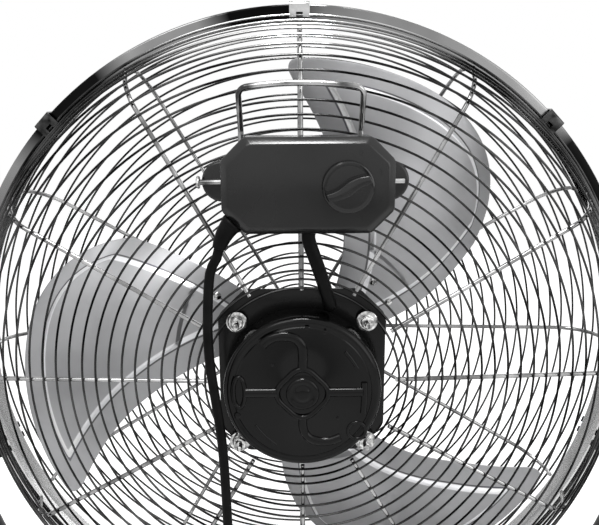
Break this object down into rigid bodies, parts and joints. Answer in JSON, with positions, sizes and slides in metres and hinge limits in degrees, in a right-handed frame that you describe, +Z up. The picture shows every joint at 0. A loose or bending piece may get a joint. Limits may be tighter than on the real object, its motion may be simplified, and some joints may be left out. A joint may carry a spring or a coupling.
{
  "type": "floor fan",
  "caption": "Tilting floor fan: a propeller in a chromed wire cage, with a rear motor, a switch box and a carrying handle, on a tubular yoke stand.",
  "frame": {"origin": "on the floor, under the point where the tilt axis meets the spin axis", "axes": "+Z up; +X along the tilt axis, to the left of someone who stands behind the fan; the air leaves towards -Y and the motor faces +Y"},
  "size_m": [0.6552, 0.3606, 0.6397],
  "materials": {
    "chrome_wire": "bright plated wire",
    "chrome_hoop": "plated sheet",
    "zinc_fastener": "zinc plated",
    "blade_aluminium": "satin sheet",
    "black_paint": "semi-gloss paint",
    "black_plastic": "moulded",
    "black_rubber": "matte",
    "bright_steel": "ground",
    "core_steel": "dull stacked sheet",
    "grey_plastic": "moulded"
  },
  "bodies": {
    "stand": {"yoke_tube": "black_paint", "cross_bar": "black_paint", "runner_left": "black_paint", "runner_right": "black_paint", "foot_front_left": "black_rubber", "foot_front_right": "black_rubber", "foot_back_left": "black_rubber", "foot_back_right": "black_rubber", "mains_cord": "black_rubber", "cord_coil": "black_rubber", "coil_tie": "black_rubber", "plug": "black_rubber"},
    "head": {"box_bracket": "black_plastic", "box_clamp_plate": "zinc_fastener", "box_screw_1": "zinc_fastener", "box_screw_2": "zinc_fastener", "capacitor": "grey_plastic", "carry_handle": "chrome_wire", "cord_gland": "black_rubber", "flange_nut_1": "zinc_fastener", "flange_nut_2": "zinc_fastener", "flange_nut_3": "zinc_fastener", "flange_nut_4": "zinc_fastener", "front_badge": "black_plastic", "front_bearing": "bright_steel", "front_guard": "chrome_wire", "guard_clip_1": "zinc_fastener", "guard_clip_2": "zinc_fastener", "guard_clip_3": "zinc_fastener", "guard_clip_4": "zinc_fastener", "guard_clip_5": "zinc_fastener", "guard_clip_6": "zinc_fastener", "guard_stud_1": "zinc_fastener", "guard_stud_2": "zinc_fastener", "guard_stud_3": "zinc_fastener", "guard_stud_4": "zinc_fastener", "handle_end_cap": "zinc_fastener", "motor_housing": "black_paint", "motor_lead": "black_rubber", "motor_plate": "black_paint", "motor_rear_cap": "black_paint", "pivot_bolt_left": "zinc_fastener", "pivot_bolt_right": "zinc_fastener", "rear_bearing": "bright_steel", "rear_guard": "chrome_wire", "rim_hoop": "chrome_hoop", "rotary_switch": "grey_plastic", "stator": "core_steel", "switch_box_base": "black_plastic", "switch_box_cover": "black_plastic"},
    "rotor": {"motor_shaft": "bright_steel", "rotor_core": "core_steel", "blade_hub": "black_paint", "hub_set_screw": "bright_steel", "blade_1": "blade_aluminium", "blade_2": "blade_aluminium", "blade_3": "blade_aluminium"},
    "speed_dial": {"speed_knob": "black_plastic"},
    "tilt_grip_left": {"tilt_knob_left": "black_plastic"},
    "tilt_grip_right": {"tilt_knob_right": "black_plastic"}
  },
  "joints": [
    {"name": "head_tilt", "type": "hinge", "parent": "stand", "child": "head", "pos_m": [0, 0, 0.3581], "axis": [1, 0, 0], "range_deg": [-90, 20], "deforming": ["mains_cord"]},
    {"name": "blade_spin", "type": "hinge", "parent": "head", "child": "rotor", "pos_m": [0, 0, 0.3581], "axis": [0, 1, 0], "continuous": true},
    {"name": "speed_select", "type": "hinge", "parent": "head", "child": "speed_dial", "pos_m": [-0.0305, 0.117, 0.5117], "axis": [0, 1, 0], "range_deg": [-90, 45]},
    {"name": "tilt_knob_turn_left", "type": "hinge", "parent": "head", "child": "tilt_grip_left", "pos_m": [0.3116, 0, 0.3581], "axis": [1, 0, 0], "range_deg": [0, 360]},
    {"name": "tilt_knob_turn_right", "type": "hinge", "parent": "head", "child": "tilt_grip_right", "pos_m": [-0.3116, 0, 0.3581], "axis": [-1, 0, 0], "range_deg": [0, 360]}
  ]
}
